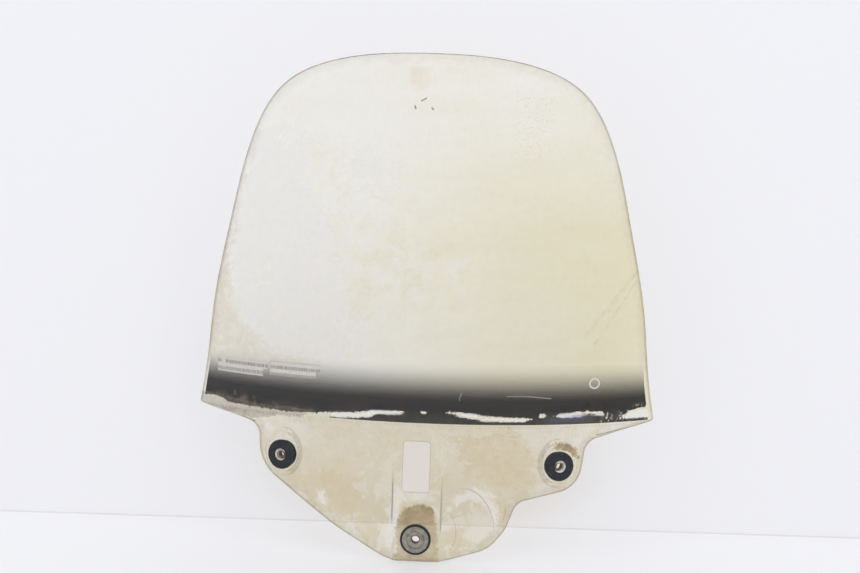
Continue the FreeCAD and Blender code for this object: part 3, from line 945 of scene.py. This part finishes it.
def make_band(material):
    """The ink film on the sheet's inner face, with the fields of its wear."""
    loop = band_outline()
    low, high = loop.min(axis=0), loop.max(axis=0)
    points = np.concatenate([
        grid_points(low, (high[0], FLAKED_TOP_Z), 2 * MM, 1.2 * MM),
        grid_points((low[0], FLAKED_TOP_Z), high, 4 * MM, 3 * MM),
    ])
    flat, tris = triangulated([loop], points[within(points, [loop], EDGE_GAP)])
    band = shell("fade_band_film", flat, tris, WALL, INK_WALL, 0.0, [material] * 3)
    flaked = regions(FLAKED, 1.5)
    flaking = region(FLAKING, 3)
    add_fields(band, {
        "flake": lambda x, z: np.maximum(flaked(x, z), 0.34 * flaking(x, z)),
        "lumped": region(LUMPED, 4),
        "dulled": region(DULLED, 4),
    })
    return band


def print_material(name, colour, mark=None):
    """Pale worn print, with darker strokes on it where mark says."""
    n = Nodes(name)
    worn = n.noise(3, 4, 0.6)
    base = n.mix(n.step(worn, 0.4, 0.75, 0.0, 0.5), colour, tuple(c * 0.8 for c in colour))
    if mark:
        base = n.mix(n.times(mark(n), 0.85), base, (0.17, 0.16, 0.15))
    return n.finish(n.principled(base, 0.45))


def label_rows(n):
    """Two rows of short dark strokes that suggest print too small to read."""
    x, z = n.axis("X"), n.axis("Z")
    row = n.math("FRACT", n.math("DIVIDE", n.minus(z, 0.4), 8.0))
    in_row = n.times(n.step(row, 0.22, 0.3), n.step(row, 0.7, 0.78, 1.0, 0.0))
    stretch = n.mapped((1.0, 0.001, 0.12))
    comb = n.gap(n.math("FRACT", n.math("DIVIDE", x, 1.9)), 0.5)
    uneven = n.times(n.noise(2.6, 1.0, 0.5, 0.0, stretch), 0.5)
    word = n.noise(9, 0.0, 0.5, 0.0, stretch)
    stroke = n.step(n.minus(comb, uneven), -0.02, 0.08, 1.0, 0.0)
    ink = n.times(stroke, n.step(word, 0.22, 0.26))
    return n.times(in_row, ink)


def print_on_sheet(name, loops, material, step):
    """Print that follows the sheet's front face, filling the first loop but not the others."""
    low, high = loops[0].min(axis=0), loops[0].max(axis=0)
    points = grid_points(low, high, step, step)
    points = points[within(points, loops, step / 3, step / 3)]
    flat, tris = triangulated(loops, points)
    return shell(name, flat, tris, -PRINT, PRINT_WALL, 0.0, [material] * 3)


def label_outline(node):
    """The two-row field of a label, its lower row shorter."""
    lo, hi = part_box(node)
    middle_z = (lo.z + hi.z) / 2
    short_x = hi.x - ROW_STEP
    lower = [(lo.x, lo.z), (short_x, lo.z), (short_x, middle_z)]
    upper = [(hi.x, middle_z), (hi.x, hi.z), (lo.x, hi.z)]
    return divided(np.array(lower + upper), 2.5 * MM)


# ---- rubber and metal


def rubber_material():
    """Black rubber, a little dusty and pitted."""
    n = Nodes("grommet_rubber")
    dust = n.noise(6, 5, 0.6)
    speck = n.noise(1.1, 3, 0.6)
    colour = n.mix(n.step(dust, 0.4, 0.8), (0.012, 0.016, 0.023), (0.045, 0.046, 0.048))
    colour = n.mix(n.step(speck, 0.62, 0.75, 0.0, 0.4), colour, (0.16, 0.15, 0.13))
    relief = n.bump(speck, 0.08 * MM, 0.35)
    return n.finish(n.principled(colour, n.step(dust, 0.3, 0.7, 0.5, 0.72), relief, Specular_IOR_Level=0.35))


# Radii in millimetres: the rim of the collar's dish and of a bore, where dirt gathers, and the bore's wall
DISH_RIM_R = 9.6
BORE_RIM_R = 4.9
BORE_R = 4.3


def metal_material(name, middle, clean, dull, share, grimy):
    """Zinc plate gone dull, with stains, a rusty bore, and dirt round the edges of its dish if grimy."""
    n = Nodes(name)
    patch = n.noise(6, 6, 0.65)
    grain = n.noise(0.8, 2, 0.5)
    x = n.minus(n.axis("X"), middle.x / MM)
    z = n.minus(n.axis("Z"), middle.z / MM)
    r = n.length(x, z)
    dish_rim = n.step(n.gap(r, DISH_RIM_R), 0.3, 1.1, 1.0, 0.0)
    bore_rim = n.step(n.gap(r, BORE_RIM_R), 0.3, 1.0, 0.8, 0.0)
    soiled = n.times(n.times(n.larger(dish_rim, bore_rim), n.step(patch, 0.35, 0.55)), grimy)
    colour = n.mix(n.step(patch, 0.38, 0.62), clean, dull)
    colour = n.mix(soiled, colour, (0.07, 0.055, 0.04))
    colour = n.mix(n.step(r, BORE_R, BORE_R + 0.3, 1.0, 0.0), colour, (0.12, 0.08, 0.045))
    relief = n.bump(n.times_plus(patch, 2.0, grain), 0.05 * MM, 0.35)
    return n.finish(n.principled(colour, n.step(patch, 0.3, 0.7, 0.35, 0.6), relief, Metallic=share))


def assign(node, material):
    """Gives a CAD piece one material."""
    obj = nodes[node]
    obj.data.materials.clear()
    obj.data.materials.append(material)
    obj.data.polygons.foreach_set("material_index", [0] * len(obj.data.polygons))


# Sides of a turned ring, and how sharp a crease in it has to be to stay sharp
TURNS = 96
CREASE_ANGLE = math.radians(32)


def turned(name, profile, front, axis, material):
    """A ring turned from a closed profile of (radius, depth behind its front) in millimetres."""
    across = axis.cross(Vector((0, 0, 1)))
    up = across.cross(axis)
    verts, faces = [], []
    for i in range(TURNS):
        a = 2 * math.pi * i / TURNS
        arm = across * math.cos(a) + up * math.sin(a)
        verts += [front - axis * depth * MM + arm * r * MM for r, depth in profile]
    count = len(profile)
    for i in range(TURNS):
        for j in range(count):
            a, b = i * count, (i + 1) % TURNS * count
            k = (j + 1) % count
            faces.append((a + j, b + j, b + k, a + k))
    obj = make_mesh(name, verts, faces, [material])
    obj.data.set_sharp_from_angle(angle=CREASE_ANGLE)
    return obj


def seat_axis(angle):
    """Outward direction of an upper seat."""
    return Vector((math.sin(angle), -math.cos(angle), 0))


SLEEVE_HALF_LENGTH = 6 * MM
# Turned profiles, (radius, depth behind the front end) in millimetres
SLEEVE_PROFILE = (
    (4.2, 0.7), (4.35, 0.25), (4.7, 0.0), (6.2, 0.0), (6.6, 0.15), (6.75, 0.5), (6.75, 11.5), (6.5, 12.0),
    (4.6, 12.0), (4.2, 11.6),
)
COLLAR_PROFILE = (
    (4.2, 1.5), (4.35, 1.2), (5.2, 0.95), (7.4, 0.3), (7.9, 0.15), (8.2, 0.1), (9.0, 0.1), (9.3, 0.35),
    (9.9, 0.35), (10.2, 0.05), (11.8, 0.0), (14.0, 0.02), (14.45, 0.15), (14.6, 0.5), (14.6, 1.3),
    (14.3, 1.58), (6.75, 1.6), (6.75, 11.4), (6.5, 11.9), (4.6, 11.9), (4.2, 11.5),
)


def make_inserts():
    """The metal inserts, each riding on its own body."""
    for node, (angle, _) in zip(("sleeve_left", "sleeve_right"), SEATS):
        axis = seat_axis(angle)
        middle = node_middle(node)
        metal = metal_material(node + "_zinc", middle, (0.68, 0.65, 0.57), (0.4, 0.36, 0.28), 0.4, 0.0)
        piece = turned(node + "_tube", SLEEVE_PROFILE, middle + axis * SLEEVE_HALF_LENGTH, axis, metal)
        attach(piece, node)
        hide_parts(node)
    front = node_middle("collar_lower")
    front.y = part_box("collar_lower")[0].y
    metal = metal_material("collar_zinc", front, (0.34, 0.32, 0.28), (0.24, 0.215, 0.175), 0.3, 0.5)
    piece = turned("collar_lower_dished", COLLAR_PROFILE, front, Vector((0, -1, 0)), metal)
    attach(piece, "collar_lower")
    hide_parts("collar_lower")


# ---- stage

# The camera: how far out, degrees round and rolled, height, and the place it aims at
CAMERA_DISTANCE = 1.7875
CAMERA_TURN = 3.672
CAMERA_ROLL = 1.836
CAMERA_Z = 0.4313
LENS = 69
SENSOR_WIDTH = 36
AIM = Vector((0.00698, 0.0, 0.2796))
# The backdrop: how far behind it stands, the size of its strip at the floor, and the stage's half width,
# depth and height
WALL_GAP = 0.1793
SEAM = 1.6 * MM
STAGE_SIZE = (3.0, 4.0, 3.0)
STAGE_COLOUR = (0.56, 0.56, 0.57)
GLOW_COLOUR = (0.97, 0.965, 1.0)
LIGHT_PLACE = Vector((0.3, -1.8, 2.4))
LIGHT_AIM = Vector((0.0, 0.0, 0.1))
LIGHT_SIZE = (3.0, 2.0)
LIGHT_POWER = 9
# A painted shadow: the wall is warmer and dimmer close behind the flange
SHADE_COLOUR = (0.84, 0.76, 0.68)
SHADE_Z = 50.0
SHADE_SEMI = (215.0, 100.0)


def make_camera():
    """A long lens a little to the right and above, rolled slightly."""
    turn = math.radians(CAMERA_TURN)
    place = Vector((AIM.x + CAMERA_DISTANCE * math.sin(turn), -CAMERA_DISTANCE * math.cos(turn), CAMERA_Z))
    cam = bpy.data.objects.new("camera", bpy.data.cameras.new("camera"))
    bpy.context.scene.collection.objects.link(cam)
    cam.data.lens = LENS
    cam.data.sensor_width = SENSOR_WIDTH
    facing = (AIM - place).to_track_quat("-Z", "Y").to_matrix().to_4x4()
    roll = Matrix.Rotation(math.radians(CAMERA_ROLL), 4, "Z")
    cam.matrix_world = Matrix.Translation(place) @ facing @ roll
    bpy.context.scene.camera = cam


def stage_material(name, glow, one_sided=False):
    """A pale matt surface that glows a little, like a lit backdrop. One-sided, it carries a painted warm
    shadow behind the flange, and is clear from behind.
    """
    n = Nodes(name)
    colour = GLOW_COLOUR
    if one_sided:
        x, z = n.axis("X"), n.axis("Z")
        across = n.times(x, 1 / SHADE_SEMI[0])
        up = n.times(n.minus(z, SHADE_Z), 1 / SHADE_SEMI[1])
        out = n.length(across, up)
        # A painted warm shadow on the wall behind the flange
        colour = n.mix(n.step(out, 0.6, 1.15, 1.0, 0.0), GLOW_COLOUR, SHADE_COLOUR)
    body = n.principled(STAGE_COLOUR, 0.4, Emission_Color=colour, Emission_Strength=glow)
    if one_sided:
        behind = n.make("ShaderNodeNewGeometry", {}, "Backfacing")
        body = n.blend(behind, body, n.transparent((1, 1, 1)))
    return n.finish(body)


def seam_material():
    """The joint where the backdrop meets the floor."""
    n = Nodes("stage_seam")
    colour = n.mix(n.noise(90, 4, 0.6), (0.45, 0.445, 0.44), (0.56, 0.555, 0.55))
    return n.finish(n.principled(colour, 0.6, Emission_Color=GLOW_COLOUR, Emission_Strength=0.3))


def plane(name, corners, material):
    """A flat piece of the stage."""
    obj = make_mesh(name, corners, [(0, 1, 2, 3)], [material], smooth=False)


def make_stage():
    """Floor, backdrop and the strip where they meet, square to the camera's turn."""
    floor_z = cad_box[0].z
    turn = math.radians(CAMERA_TURN)
    along = Vector((math.cos(turn), math.sin(turn), 0))
    away = Vector((-math.sin(turn), math.cos(turn), 0))
    foot = Vector((0, WALL_GAP, floor_z))
    wide, deep, tall = STAGE_SIZE
    left, right = foot - along * wide, foot + along * wide
    up = Vector((0, 0, tall))
    near = -away * deep
    plane("floor", [left + near, right + near, right, left], stage_material("stage_floor", 0.33))
    lift = Vector((0, 0, SEAM)) - away * SEAM
    plane("seam", [left - away * SEAM, right - away * SEAM, right + lift, left + lift], seam_material())
    plane("backdrop", [left, right, right + up, left + up], stage_material("stage_wall", 0.36, True))


def make_lights():
    """An even pale studio, and one large soft light above and in front."""
    world = bpy.data.worlds.new("studio")
    world.use_nodes = True
    background = world.node_tree.nodes["Background"]
    background.inputs[0].default_value = (0.95, 0.965, 1.0, 1)
    background.inputs[1].default_value = 0.92
    bpy.context.scene.world = world
    light = bpy.data.lights.new("ceiling", "AREA")
    light.shape = "RECTANGLE"
    light.size, light.size_y = LIGHT_SIZE
    light.energy = LIGHT_POWER
    obj = bpy.data.objects.new("ceiling", light)
    obj.location = LIGHT_PLACE
    obj.rotation_euler = (LIGHT_AIM - LIGHT_PLACE).to_track_quat("-Z", "Y").to_euler()
    bpy.context.scene.collection.objects.link(obj)


# ---- assembly


def main():
    """Every piece, on its body, and the stage."""
    screen, outline = make_screen([sheet_front_material(), sheet_back_material(), sheet_edge_material()])
    weather(screen, outline)
    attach(screen, "screen")
    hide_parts("screen")

    band = make_band(ink_material())
    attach(band, "screen")
    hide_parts("fade_band")

    label = print_material("label_print", (0.66, 0.63, 0.57), label_rows)
    for node in ("care_label_left", "care_label_right"):
        piece = print_on_sheet(node + "_print", [label_outline(node)], label, 2.5 * MM)
        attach(piece, "screen")
        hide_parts(node)
    lo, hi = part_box("round_mark")
    middle = (lo + hi) / 2
    ring_r = (hi.z - lo.z) / 2
    ring = [round_outline(middle.x, middle.z, r, RING_SIDES) for r in (ring_r, ring_r - RING_WIDTH)]
    mark_ink = print_material("mark_print", (0.72, 0.7, 0.64))
    mark = print_on_sheet("round_mark_print", ring, mark_ink, 1.2 * MM)
    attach(mark, "screen")
    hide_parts("round_mark")

    rubber = rubber_material()
    for node in ("grommet_left", "grommet_right", "grommet_lower"):
        assign(node, rubber)
    make_inserts()

    make_camera()
    make_stage()
    make_lights()
    bpy.context.scene.view_settings.view_transform = "Standard"


main()
